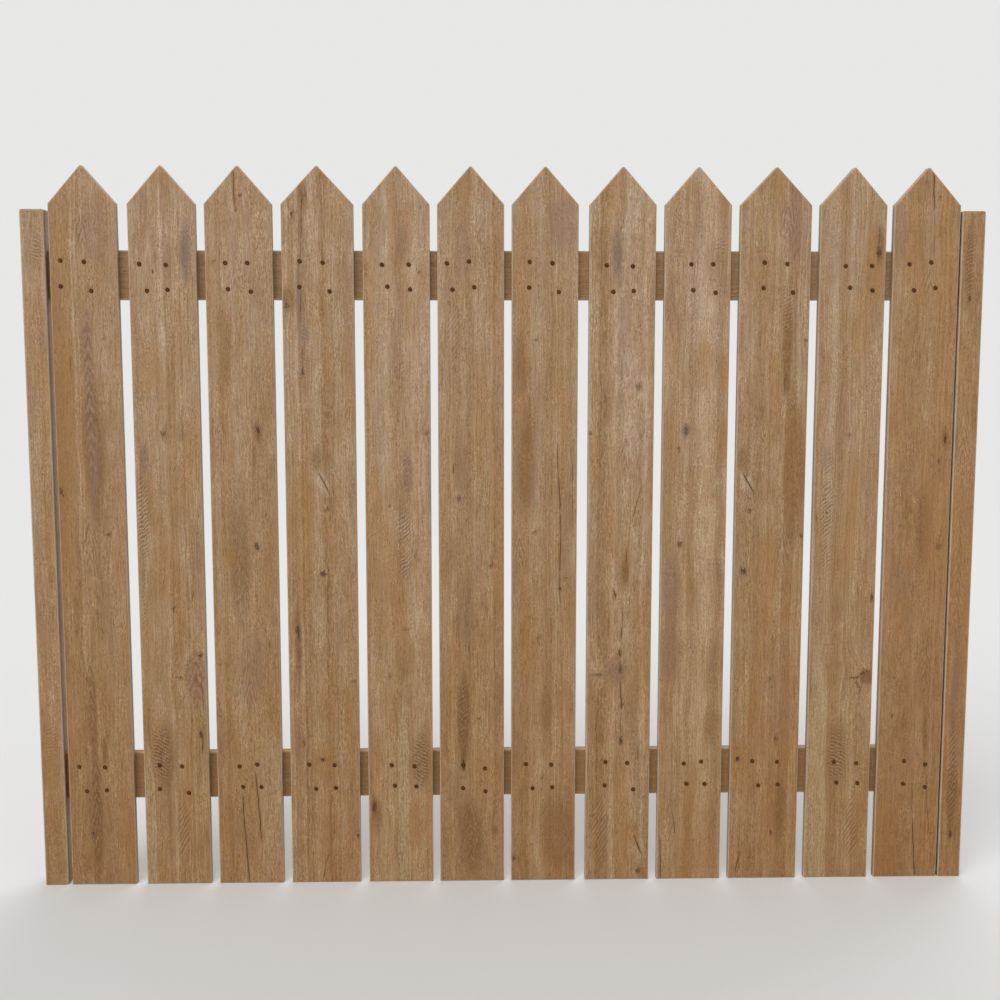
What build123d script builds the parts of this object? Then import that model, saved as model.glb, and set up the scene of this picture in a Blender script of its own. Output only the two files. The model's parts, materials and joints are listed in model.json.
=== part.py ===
"""Picket fence panel: twelve pointed boards nailed to two rails that run between two end posts.

Millimetres, +Z up. X runs along the fence from the left post to the right post, the boards face -Y.
The origin is the centre of the left post's foot.
"""
import os

from build123d import *

# Posts
post_width = 45.0
post_depth = 45.0
post_height = 1297.5
post_arris = 4.0

# Boards
board_width = 125.0
wide_board_width = 134.0
board_thickness = 18.0
shoulder_height = 1307.3
point_rise = 71.5
tip_radius = 4.0
board_arris = 2.5

# Rails
rail_height = 92.0
rail_thickness = 18.0
rail_arris = 2.5
lower_rail_bottom = 168.3
upper_rail_bottom = 1131.5

# Spacing: two equal runs of six boards, each gap follows its board
run_widths = (board_width, board_width, board_width, wide_board_width, board_width, board_width)
run_gaps = (20.2, 16.3, 16.5, 16.7, 13.9, 14.1)
runs = 2
left_end_gap = 7.7
right_end_gap = 3.0

# Planes across the fence: the boards' faces are flush with the posts' faces
front_plane = -post_depth / 2
rail_front = front_plane + board_thickness
left_inner_face = post_width / 2


def board_places():
    """Left edge and width of every board, from the left post to the right one."""
    places = []
    edge = left_inner_face + left_end_gap
    for _ in range(runs):
        for width, gap in zip(run_widths, run_gaps):
            places.append((edge, width))
            edge += width + gap
    return places


boards = board_places()
last_edge, last_width = boards[-1]
right_inner_face = last_edge + last_width + right_end_gap
right_post_x = right_inner_face + post_width / 2

os.makedirs("parts", exist_ok=True)

# Boards: an upright outline with square shoulders and a blunt tip, thickened backwards, its arrises eased
for number, (edge, width) in enumerate(boards, start=1):
    with BuildPart() as picket:
        with BuildSketch(Plane.XZ.offset(-front_plane)) as outline:
            with BuildLine():
                Polyline(
                    (edge, 0.0),
                    (edge + width, 0.0),
                    (edge + width, shoulder_height),
                    (edge + width / 2, shoulder_height + point_rise),
                    (edge, shoulder_height),
                    close=True,
                )
            make_face()
            fillet(outline.vertices().sort_by(Axis.Y)[-1], tip_radius)
        extrude(amount=-board_thickness)
        fillet(picket.faces().filter_by(Axis.Y).edges(), board_arris)
    name = f"picket_{number:02d}"
    picket.part.label = name
    export_step(picket.part, f"parts/{name}.step")

# Rails: behind the boards, square ended, from one post's inner face to the other's
for name, bottom in (("lower_rail", lower_rail_bottom), ("upper_rail", upper_rail_bottom)):
    with BuildPart() as rail:
        with Locations((left_inner_face, rail_front, bottom)):
            Box(
                right_inner_face - left_inner_face,
                rail_thickness,
                rail_height,
                align=(Align.MIN, Align.MIN, Align.MIN),
            )
        fillet(rail.edges().filter_by(Axis.X), rail_arris)
    rail.part.label = name
    export_step(rail.part, f"parts/{name}.step")

# Posts: square and flat topped, eased down the corners and round the top, sharp at the foot
for name, centre in (("left_post", 0.0), ("right_post", right_post_x)):
    with BuildPart() as post:
        with Locations((centre, 0.0, 0.0)):
            Box(post_width, post_depth, post_height, align=(Align.CENTER, Align.CENTER, Align.MIN))
        top_edges = post.faces().sort_by(Axis.Z)[-1].edges()
        fillet(post.edges().filter_by(Axis.Z) + top_edges, post_arris)
    post.part.label = name
    export_step(post.part, f"parts/{name}.step")
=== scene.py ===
"""Dress the picket fence panel: its oak boards, nails, rails and posts, and the stage they stand on.

Metres, +Z up. X runs along the fence, the boards face -Y, and the origin is at the left post's foot.
Marks in the wood are in millimetres of their own board: across from its left edge, up from its foot.
"""
import json
import math
from collections import namedtuple

import bpy
import numpy as np
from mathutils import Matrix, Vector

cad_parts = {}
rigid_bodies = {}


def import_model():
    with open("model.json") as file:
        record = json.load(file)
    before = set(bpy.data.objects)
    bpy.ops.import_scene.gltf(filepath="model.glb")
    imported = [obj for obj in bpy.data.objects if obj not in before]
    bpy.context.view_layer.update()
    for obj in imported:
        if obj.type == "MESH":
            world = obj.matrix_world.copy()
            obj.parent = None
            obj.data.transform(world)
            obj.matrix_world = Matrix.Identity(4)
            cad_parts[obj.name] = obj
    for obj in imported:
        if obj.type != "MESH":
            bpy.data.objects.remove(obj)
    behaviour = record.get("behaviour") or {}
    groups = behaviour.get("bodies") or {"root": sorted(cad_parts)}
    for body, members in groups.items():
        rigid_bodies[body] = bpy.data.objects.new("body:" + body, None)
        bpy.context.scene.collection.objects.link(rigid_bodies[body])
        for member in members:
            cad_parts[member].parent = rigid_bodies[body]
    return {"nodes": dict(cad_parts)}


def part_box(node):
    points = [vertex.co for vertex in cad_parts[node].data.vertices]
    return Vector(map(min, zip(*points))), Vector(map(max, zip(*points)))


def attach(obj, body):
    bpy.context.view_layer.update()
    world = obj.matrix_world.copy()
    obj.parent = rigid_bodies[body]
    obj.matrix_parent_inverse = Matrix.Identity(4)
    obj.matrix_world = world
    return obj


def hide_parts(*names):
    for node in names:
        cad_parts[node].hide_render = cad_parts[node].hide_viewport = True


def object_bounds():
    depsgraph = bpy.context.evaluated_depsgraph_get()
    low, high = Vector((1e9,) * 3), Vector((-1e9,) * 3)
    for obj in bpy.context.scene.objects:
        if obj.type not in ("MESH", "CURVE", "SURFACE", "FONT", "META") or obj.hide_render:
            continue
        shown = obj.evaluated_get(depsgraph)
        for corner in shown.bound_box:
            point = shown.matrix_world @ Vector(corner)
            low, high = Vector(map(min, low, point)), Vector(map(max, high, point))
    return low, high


bl_info = {
    "name": "Picket fence panel",
    "version": (1, 0, 0),
    "blender": (4, 5, 0),
    "location": "View3D > Sidebar > Fence",
    "description": "Boards, nails, rails and posts of a picket fence panel, on a plain stage",
    "category": "Add Mesh",
}

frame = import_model()
CAD_BOX = [list(corner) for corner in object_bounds()]

MM = 0.001
BOARD_NODES = sorted(name for name in frame["nodes"] if name.startswith("picket_"))
RAIL_NODES = ("lower_rail", "upper_rail")
POST_NODES = ("left_post", "right_post")


def linear(red, green, blue):
    """Scene-linear colour of a display colour given from 0 to 255."""
    shares = np.array((red, green, blue)) / 255
    curved = ((shares + 0.055) / 1.055) ** 2.4
    return tuple(float(c) for c in np.where(shares <= 0.04045, shares / 12.92, curved))


def middle(node):
    """Middle of a node's box."""
    low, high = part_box(node)
    return (low + high) / 2


# A streak is a long soft stretch of one of the oak's tints, and soft is how far its edge reaches inwards
Streak = namedtuple("Streak", "across low high half tint strength lean soft", defaults=(0.0, 0.62))
Knot = namedtuple("Knot", "across up half tall lean strength", defaults=(0.0, 1.0))
# A figure's strokes rise to the right by the slope, or fall on both sides of its middle where it is folded
Figure = namedtuple("Figure", "across low high half slope folded strength", defaults=(False, 1.0))
# A seam runs along its path of (across, up) points and gapes in the stretches (low, high, half width, depth)
Seam = namedtuple("Seam", "path gapes")
# Shade lightens the wood, or darkens it below nothing, and warmth is a share of amber all over
Wood = namedtuple("Wood", "streaks figures knots shade warmth", defaults=((), (), (), 0.0, 0.0))
# Upper and lower say which set of nails is at each rail, and where its first nail is: across from the board's
# left edge and up from the rail's middle
Board = namedtuple("Board", "upper lower seams wood")

# Sets of four nails, along the fence and up from the first one
NAIL_SETS = {
    "A": ((0, 0), (42.7, -2.4), (-1.1, -47.3), (54.8, -55.6)),
    "B": ((0, 0), (49.0, -1.7), (12.9, -49.0), (51.2, -47.4)),
    "C": ((0, 0), (40.9, 0.1), (4.2, -48.0), (46.4, -52.6)),
    "D": ((0, 0), (34.0, 3.6), (5.8, -41.0), (41.3, -41.5)),
    "E": ((0, 0), (49.6, 0.5), (9.5, -40.1), (52.0, -45.3)),
    "F": ((0, 0), (44.1, -2.8), (5.8, -41.3), (47.5, -43.1)),
    "G": ((0, 0), (41.1, 3.5), (10.2, -48.4), (50.8, -43.9)),
    "H": ((0, 0), (42.2, -6.9), (-0.5, -46.0), (43.2, -52.9)),
}

BOARDS = (
    Board(("A", 20.5, 26.0), ("B", 21.1, 23.1), seams=(
        Seam(((31, 1030), (33, 980)), ((980, 1032, 0.5, 0.8),)),
        Seam(((50, 427), (47, 300), (52, 215), (54, 112), (51, 70), (53, 42)),
            ((360, 427, 0.4, 0.4), (118, 200, 0.5, 0.35), (60, 100, 0.5, 0.4))),
        Seam(((76, 285), (78, 238)), ((238, 285, 0.5, 0.7),)),
    ), wood=Wood(streaks=(
        (12, 560, 1280, 22, "amber", 1.0), (8, 540, 1300, 14, "heart", 0.3),
        (64, 940, 1130, 10, "plum", 0.8), (70, 690, 1020, 16, "heart", 0.85),
        (68, 700, 1000, 8, "plum", 0.9), (51, -20, 300, 12, "heart", 0.9), (48, 240, 460, 9, "heart", 0.7),
        (71, 235, 300, 4, "heart", 0.9), (84, 1180, 1340, 24, "plum", 0.45),
        (110, 20, 180, 20, "amber", 0.5),
    ), figures=(
        (62, 1230, 1290, 14, 2.7, True), (55, 615, 725, 13, 2.5, True), (66, 800, 1120, 9, 1.4, True, 0.8),
        (48, 330, 480, 9, 2.4, True, 0.6), (52, 20, 300, 9, 2.4, True, 0.7),
    ), knots=(
        (6, 773, 3, 9, 0.4), (92, 690, 4, 2, 0.2), (41, 411, 2, 2), (43, 102, 2, 7), (49, 292, 2, 2),
        (94, 1058, 5, 2, 0.0, 0.5),
    ), shade=-0.09, warmth=0.1)),
    Board(("B", 19.9, 19.8), ("A", 30.5, 24.7), seams=(
        Seam(((20, 1260), (22, 1190)), ((1195, 1258, 0.4, 0.4),)),
        Seam(((104, 583), (101, 558), (116, 465), (113, 430), (118, 350), (115, 280), (109, 215)),
            ((558, 583, 0.6, 0.9), (448, 468, 0.7, 0.8), (345, 405, 0.6, 0.9), (262, 305, 0.9, 1.3),
            (212, 262, 0.5, 0.6))),
    ), wood=Wood(streaks=(
        (105, 1150, 1290, 9, "smoke", 0.8), (104, 1180, 1240, 5, "smoke", 0.7),
        (26, 940, 1080, 24, "amber", 0.5), (60, 1330, 1385, 18, "amber", 0.5),
        (17, 800, 870, 8, "smoke", 0.6), (105, 350, 470, 17, "plum", 0.8),
        (9, -200, 270, 8, "grey", 0.75, 0.0, 0.2), (42, 180, 330, 20, "heart", 0.7),
        (64, 540, 1000, 16, "amber", 0.35),
    ), figures=(
        (13, 640, 810, 11, 0.85), (12, 500, 640, 10, 0.85, False, 0.5), (34, 200, 318, 16, -0.5),
        (74, 50, 168, 12, 1.7, False, 0.8), (84, 310, 390, 18, 1.7, True, 0.5),
        (106, 350, 470, 12, 1.4, True, 0.9),
    ), knots=(
        (55, 882, 5, 5, 0.0, 0.6), (74, 412, 8, 2, -0.1), (114, 456, 3, 5), (66, 547, 1.5, 8),
        (44, 1183, 1.5, 5), (112, 300, 3, 9),
    ))),
    Board(("C", 37.4, 21.8), ("D", 43.0, 21.2), seams=(
        Seam(((56, 1380), (57, 1320), (60, 1270), (62, 1210), (50, 250), (48, 185), (50, 120), (54, 60),
            (57, 0)),
            ((1296, 1400, 0.7, 1.7), (1205, 1298, 0.45, 0.5), (-30, 188, 0.75, 1.6))),
        Seam(((72, 320), (72, 240), (79, 150), (84, 76)), ((255, 312, 0.5, 0.5), (76, 232, 0.8, 1.5))),
    ), wood=Wood(streaks=(
        (35, 940, 1130, 10, "heart", 0.5), (52, 500, 800, 18, "heart", 0.6),
        (92, 860, 910, 7, "heart", 0.9), (81, 800, 880, 4, "heart", 0.6), (14, 40, 160, 15, "amber", 0.6),
        (36, 620, 665, 9, "amber", 0.7), (10, 940, 1270, 13, "amber", 0.35),
        (66, 330, 520, 22, "plum", 0.35), (104, 10, 330, 22, "pale", 0.5),
    ), figures=(
        (55, 1150, 1200, 14, 2.4, True, 0.7), (66, 330, 480, 14, 2.7, True, 0.7),
        (55, 480, 700, 14, 2.5, True, 0.4),
    ), knots=(
        (92, 886, 3, 10, 0.15), (86, 667, 5, 8, 0.0, 0.8), (68, 1323, 1.5, 5), (60, 1298, 1.5, 6),
        (16, 1203, 3, 2), (9, 438, 1.5, 1.5), (5, 337, 3, 1.5),
    ), warmth=0.05)),
    Board(("A", 34.0, 25.1), ("B", 36.1, 23.9), seams=(
        Seam(((42, 1340), (39, 1300), (36, 1200), (34, 1100), (37, 1000), (44, 800), (44, 620)),
            ((1200, 1338, 0.6, 0.9), (1085, 1160, 0.5, 0.7), (985, 1060, 0.5, 0.7), (640, 810, 0.35, 0.3))),
        Seam(((63, 808), (84, 765), (80, 400), (74, 62), (66, 40), (60, 5)),
            ((765, 808, 1.1, 1.9), (4, 62, 0.6, 1.0))),
        Seam(((109, 1025), (110, 980)), ((980, 1027, 0.45, 0.6),)),
    ), wood=Wood(streaks=(
        (42, 1290, 1355, 9, "heart", 0.8), (34, 1060, 1215, 5, "plum", 1.0),
        (42, 1045, 1090, 7, "smoke", 0.6), (12, 1105, 1160, 14, "heart", 0.7),
        (60, 805, 860, 9, "heart", 0.6), (72, 756, 815, 11, "pale", 0.7, 0.48),
        (19, 390, 570, 6, "heart", 0.9), (30, 520, 900, 20, "amber", 0.4), (64, 200, 290, 20, "amber", 0.6),
        (124, 940, 1300, 12, "plum", 0.35),
    ), figures=(
        (40, 960, 1120, 26, -0.45, False, 0.3), (38, 80, 150, 12, 2.7, True, 0.7),
    ), knots=(
        (20, 1287, 2, 7, 0.2), (37, 997, 3, 6), (78, 737, 5, 3, 0.3), (69, 613, 5, 6, 0.5),
        (19, 500, 3, 14), (124, 403, 3, 2), (63, 247, 5, 4), (26, 282, 2, 4), (130, 93, 2, 6),
        (8, 1120, 6, 3),
    ))),
    Board(("E", 36.0, 18.9), ("F", 45.3, 21.4), seams=(
        Seam(((12, 172), (11, 155), (13, 132)), ((134, 170, 0.9, 1.1),)),
    ), wood=Wood(streaks=(
        (16, 1265, 1320, 14, "amber", 0.6), (76, 1190, 1280, 12, "plum", 0.45),
        (80, 755, 860, 8, "plum", 0.8), (30, 440, 800, 24, "amber", 0.55),
        (69, -260, 380, 9, "grey", 0.9, 0.0, 0.25), (103, 180, 310, 17, "heart", 0.6),
        (14, 90, 180, 12, "heart", 0.6), (20, 940, 1260, 18, "amber", 0.3), (98, 60, 180, 18, "amber", 0.5),
        (44, 300, 470, 20, "amber", 0.3),
    ), figures=(
        (76, 665, 740, 12, 0.85), (77, 600, 662, 11, 0.85), (77, 745, 850, 10, 0.85, False, 0.5),
        (103, 188, 300, 16, -0.5, False, 0.9),
    ), knots=(
        (117, 883, 5, 3, 0.2, 0.7), (45, 743, 2, 2), (104, 1183, 2, 4, 0.0, 0.7), (11, 152, 4, 12),
        (44, 413, 4, 4, 0.0, 0.5), (74, 505, 7, 4, 0.0, 0.35),
    ), shade=0.04)),
    Board(("G", 18.1, 21.6), ("H", 45.6, 20.3), seams=(
        Seam(((11, 300), (15, 250)), ((250, 300, 0.45, 0.6),)),
        Seam(((28, 825), (29, 805), (46, 250), (47, 220)), ((804, 824, 0.7, 0.9), (220, 250, 0.9, 1.2))),
    ), wood=Wood(streaks=(
        (46, 1310, 1370, 14, "amber", 0.7), (48, 1160, 1300, 14, "plum", 0.5),
        (42, 720, 900, 10, "plum", 0.5), (46, 215, 430, 11, "heart", 1.0), (46, 225, 270, 6, "heart", 0.8),
        (62, 0, 185, 22, "heart", 0.8), (116, 500, 690, 12, "amber", 0.7),
        (112, 940, 1330, 16, "amber", 0.3), (56, 440, 640, 16, "plum", 0.4),
    ), figures=(
        (30, 1000, 1130, 12, 1.5, False, 0.4), (60, 40, 180, 14, 2.4, True, 0.4),
        (46, 280, 420, 9, 1.04, False, 0.6),
    ), knots=(
        (21, 1125, 2, 2), (33, 1005, 2, 2, 0.0, 0.7), (39, 757, 4, 6, 0.0, 0.6), (100, 628, 6, 5, 0.0, 0.5),
        (46, 233, 4, 9), (75, 328, 5, 1.5, -0.2), (108, 103, 5, 9, 0.0, 0.35),
    ), shade=-0.05, warmth=0.03)),
    Board(("A", 33.5, 24.5), ("B", 28.7, 21.7), seams=(
        Seam(((26, 290), (29, 265), (31, 243)), ((243, 288, 0.5, 0.7),)),
        Seam(((86, 905), (88, 820), (92, 760), (94, 690), (93, 600), (95, 520)),
            ((790, 872, 0.5, 0.8), (730, 800, 0.85, 1.7), (690, 735, 0.55, 1.0), (612, 698, 0.65, 1.4),
            (560, 615, 0.5, 0.9))),
        Seam(((112, 900), (115, 840), (118, 700)), ((700, 870, 0.5, 0.7),)),
    ), wood=Wood(streaks=(
        (97, 1215, 1335, 26, "plum", 0.6), (16, 940, 1095, 9, "heart", 0.8),
        (15, 950, 1000, 4, "plum", 0.8), (27, 710, 930, 17, "heart", 0.7), (66, 290, 400, 10, "heart", 0.5),
        (92, 0, 185, 28, "heart", 0.6), (20, 940, 1330, 14, "amber", 0.3),
        (104, 560, 820, 12, "plum", 0.35), (8, 200, 320, 12, "heart", 0.4),
    ), figures=(
        (16, 620, 695, 12, 2.7, True, 0.8), (18, 1180, 1300, 12, 0.78, False, 0.2),
        (60, 830, 850, 8, 1.7, True, 0.5),
    ), knots=(
        (49, 1158, 2, 2), (46, 1058, 4, 3, 0.0, 0.6), (94, 583, 2.5, 5), (44, 692, 5, 2, 0.3),
        (104, 603, 2, 4), (52, 486, 3, 1.5), (59, 208, 2, 2), (6, 45, 3, 3),
    ), shade=-0.03, warmth=0.03)),
    Board(("B", 32.6, 18.4), ("A", 38.6, 24.5), seams=(
        Seam(((107, 790), (95, 752), (84, 703), (76, 655), (75, 615), (71, 560), (69, 517), (65, 455),
            (66, 400), (69, 350), (67, 270)),
            ((700, 785, 0.6, 1.2), (600, 690, 0.5, 0.8), (478, 545, 0.65, 1.2), (345, 402, 0.9, 1.5),
            (268, 342, 0.6, 0.8))),
        Seam(((120, 790), (110, 500), (102, 268), (95, 92), (113, 47)),
            ((238, 268, 0.6, 0.8), (47, 92, 1.1, 1.9))),
    ), wood=Wood(streaks=(
        (53, 1150, 1285, 8, "smoke", 0.8), (54, 1190, 1240, 5, "smoke", 0.8),
        (12, 760, 900, 16, "amber", 0.45), (58, 385, 455, 20, "plum", 0.8),
        (104, 40, 96, 12, "pale", 0.7, 0.4), (92, 60, 120, 14, "amber", 0.6),
        (73, 1190, 1370, 5, "pale", 0.6), (96, 320, 500, 24, "amber", 0.4), (74, 580, 650, 7, "heart", 0.9),
    ), figures=(
        (70, 800, 880, 11, 2.7, True, 0.7), (28, 30, 170, 16, 1.7, False, 0.7),
        (30, 310, 390, 18, 1.7, True, 0.45), (32, 1230, 1280, 20, -0.13, False, 0.3),
    ), knots=(
        (94, 970, 6, 8, 0.0, 0.6), (4, 882, 4, 2), (54, 570, 1.5, 9, 0.2), (64, 456, 4, 6), (25, 412, 9, 2),
        (69, 352, 3, 7), (68, 280, 3, 10), (105, 17, 5, 3, 0.3), (66, 425, 3, 12, 0.0, 0.7),
    ), shade=-0.02)),
    Board(("C", 50.3, 20.5), ("D", 51.0, 20.2), seams=(
        Seam(((6, 90), (8, 0)), ((-10, 88, 0.8, 1.5),)),
        Seam(((44, 900), (44, 868), (29, 140), (32, 120), (37, 78)),
            ((870, 898, 0.6, 0.6), (79, 136, 0.6, 1.0))),
        Seam(((91, 246), (92, 218)), ((219, 245, 0.5, 0.7),)),
    ), wood=Wood(streaks=(
        (12, 1070, 1180, 9, "plum", 0.6), (115, 945, 1045, 8, "amber", 0.9),
        (117, 810, 925, 8, "amber", 0.9), (18, 500, 670, 18, "plum", 0.75), (18, 380, 520, 18, "plum", 0.6),
        (45, 868, 905, 7, "smoke", 0.8), (104, 270, 360, 14, "heart", 0.5),
        (62, 1010, 1250, 20, "pale", 0.4), (14, 700, 960, 14, "amber", 0.4),
        (100, 10, 110, 18, "amber", 0.4), (60, 200, 480, 22, "pale", 0.4),
    ), figures=(
        (104, 1215, 1250, 12, 0.33, False, 0.6), (104, 30, 150, 12, 2.7, True, 0.4),
        (12, 1060, 1180, 12, 2.4, True, 0.4),
    ), knots=(
        (36, 668, 5, 8, 0.0, 0.7), (45, 886, 3, 8, 0.0, 0.8), (32, 850, 3, 6, 0.0, 0.6),
        (20, 1330, 2, 5, 0.3, 0.6),
    ), shade=0.04)),
    Board(("A", 46.6, 23.8), ("B", 43.8, 23.8), seams=(
        Seam(((13, 807), (36, 765), (30, 500), (26, 62), (13, 8)),
            ((765, 807, 1.1, 1.9), (6, 62, 0.6, 1.0))),
        Seam(((91, 995), (90, 950)), ((948, 996, 0.7, 0.9),)),
        Seam(((117, 1157), (116, 1090), (116, 263), (118, 223)),
            ((1088, 1158, 0.5, 0.6), (223, 265, 0.5, 0.6))),
    ), wood=Wood(streaks=(
        (98, 1190, 1340, 18, "plum", 0.5), (92, 940, 1150, 8, "heart", 0.9),
        (93, 950, 1010, 5, "heart", 0.9), (112, 700, 945, 20, "amber", 0.9),
        (114, 640, 960, 22, "heart", 0.6), (24, 756, 815, 11, "pale", 0.7, 0.48),
        (12, 805, 860, 9, "heart", 0.6), (97, 60, 225, 11, "heart", 0.7), (14, 200, 290, 16, "amber", 0.5),
        (114, 480, 640, 14, "amber", 0.5), (94, 250, 480, 18, "plum", 0.35),
    ), figures=(
        (92, 615, 705, 12, 2.7, True), (88, 1240, 1310, 14, 2.4, True, 0.7),
        (92, 1060, 1190, 12, 0.5, False, 0.6), (88, 430, 500, 14, 2.2, True, 0.5),
    ), knots=(
        (129, 1057, 4, 2, -0.2), (29, 733, 5, 3, 0.3), (19, 615, 5, 6, 0.5), (129, 683, 3, 4),
        (75, 403, 2, 2), (88, 283, 2, 2), (14, 243, 5, 5), (83, 93, 2, 8),
    ), shade=-0.05, warmth=0.05)),
    Board(("E", 49.1, 17.5), ("F", 54.1, 20.9), seams=(
        Seam(((81, 555), (81, 530)), ((532, 553, 0.5, 0.7),)),
        Seam(((112, 1270), (110, 1190), (117, 600), (118, 575), (116, 548)),
            ((1190, 1268, 0.7, 1.0), (550, 576, 0.7, 1.0))),
    ), wood=Wood(streaks=(
        (104, 1100, 1285, 18, "amber", 1.0), (113, 1190, 1280, 7, "heart", 0.9),
        (26, 800, 862, 10, "smoke", 0.4), (112, 385, 425, 12, "heart", 1.0),
        (18, -380, 450, 15, "grey", 0.65, 0.0, 0.12), (58, 180, 330, 20, "heart", 0.55),
        (30, 1150, 1280, 16, "plum", 0.35), (84, 1000, 1150, 18, "amber", 0.5),
        (56, 510, 580, 12, "heart", 0.3), (100, 60, 180, 16, "amber", 0.4),
        (70, 560, 900, 14, "amber", 0.3),
    ), figures=(
        (26, 665, 805, 11, 0.85), (26, 800, 860, 9, 0.85, False, 0.5), (26, 606, 665, 10, 0.85, False, 0.7),
        (60, 190, 302, 17, -0.5), (98, 290, 350, 16, 0.9, True, 0.6), (90, 30, 165, 14, 1.7, False, 0.8),
    ), knots=(
        (111, 1220, 5, 9), (67, 877, 5, 4, 0.0, 0.5), (119, 563, 2, 8, 0.2), (88, 404, 10, 1.6, 0.1),
        (106, 412, 8, 2, 0.5, 0.9), (95, 391, 1.5, 10, 0.5, 0.9), (101, 378, 1.5, 8, -0.3, 0.7),
        (116, 416, 5, 3, 0.0, 0.6),
    ), shade=0.02)),
    Board(("G", 30.9, 21.0), ("H", 53.7, 21.6), seams=(
        Seam(((71, 1380), (72, 1340), (75, 1300), (77, 1200), (70, 240), (72, 160), (77, 80), (83, 0)),
            ((1296, 1400, 0.9, 2.0), (1195, 1298, 0.5, 0.7), (120, 205, 0.6, 0.9), (-30, 128, 1.0, 2.0))),
        Seam(((94, 313), (93, 250), (98, 225), (104, 130), (107, 112), (111, 60)),
            ((250, 313, 0.5, 0.3), (62, 226, 0.6, 0.9))),
    ), wood=Wood(streaks=(
        (110, 845, 900, 9, "heart", 1.0), (104, 780, 860, 6, "heart", 0.6),
        (76, 600, 800, 15, "heart", 0.8), (20, -80, 190, 22, "heart", 0.55, 0.0, 0.8),
        (18, -90, 200, 26, "amber", 0.8), (51, 610, 650, 9, "amber", 0.8),
        (10, 1180, 1310, 12, "plum", 0.5), (108, 500, 760, 16, "amber", 0.4),
        (93, 240, 340, 5, "heart", 0.8), (84, 330, 520, 16, "heart", 0.35), (30, 540, 640, 22, "plum", 0.4),
        (100, 380, 1180, 22, "amber", 0.5),
    ), figures=(
        (72, 1140, 1195, 14, 2.5, True, 0.7), (88, 380, 500, 14, 2.7, True, 0.7),
        (60, 60, 180, 10, 2.7, True, 0.3),
    ), knots=(
        (111, 870, 3, 12), (106, 662, 6, 8, 0.0, 0.45), (84, 1323, 1.5, 5), (27, 328, 4, 1.5, -0.3),
        (100, 827, 2, 6, 0.0, 0.7),
    ), shade=-0.18, warmth=0.18)),
)
BARS = {
    "lower_rail": Wood(warmth=0.9),
    # The upper rail's shade of 0.23 paints it paler: painted light that makes up for the shade the boards
    # cast on it
    "upper_rail": Wood(shade=0.23, warmth=0.65),
    "left_post": Wood(streaks=(
        (20, 1140, 1280, 8, "heart", 0.35), (18, 60, 300, 12, "amber", 0.4),
        (22, 1120, 1320, 26, "grey", 0.25),
    ), figures=(
        (30, 1195, 1250, 11, -0.35, False, 0.8), (22, 250, 330, 12, 0.5, False, 0.6),
    ), shade=0.03),
    "right_post": Wood(streaks=(
        (17, 1110, 1290, 9, "heart", 0.9), (22, 60, 250, 9, "heart", 1.0), (25, 300, 900, 20, "amber", 0.7),
        (22, 200, 560, 8, "plum", 0.9),
    ), figures=(
        (18, 1120, 1280, 8, 0.5, False, 0.7), (18, 780, 940, 10, 2.7, True, 0.8),
        (22, 90, 320, 8, 1.5, False, 0.9), (18, 440, 760, 10, 2.5, True, 0.5),
    ), knots=(
        (19, 1135, 2, 7), (23, 86, 3, 9),
    ), shade=-0.27, warmth=0.2),
}


def length_setting(name, description, default):
    """A length that a user can set, in metres, shown to a hundredth of a millimetre."""
    return bpy.props.FloatProperty(
        name=name, description=description, default=default, unit="LENGTH", precision=5)


def colour_setting(name, description, default):
    """A colour that a user can set, scene-linear."""
    return bpy.props.FloatVectorProperty(name=name, description=description, default=default, subtype="COLOR")


class FenceTimberSettings(bpy.types.PropertyGroup):
    """Sizes of the sawn and dressed boards."""

    shoulder: length_setting("Shoulder", "Height at which the two slants of a board's point begin", 1.3073)
    rise: length_setting("Rise", "Height of the point above the shoulders, before the tip is blunted", 0.0715)
    tip_radius: length_setting("Tip radius", "Radius of the blunted tip", 0.004)
    arris: length_setting("Arris", "Radius that the boards' edges are eased to", 0.0025)
    line_spacing: length_setting("Line spacing", "Distance between the mesh lines up a board", 0.0032)
    row_spacing: length_setting("Row spacing", "Distance between the mesh rows up a board", 0.008)
    fine_spacing: length_setting("Fine rows", "Distance between the rows at the nails and the point", 0.003)
    planing: length_setting("Planing waves", "Height of the slow waves left in a planed face", 0.00022)
    hollow_depth: length_setting("Nail hollow", "Depth of the wood pressed in round a nail", 0.0004)
    hollow_radius: length_setting("Hollow radius", "Radius of the wood pressed in round a nail", 0.006)


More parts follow.
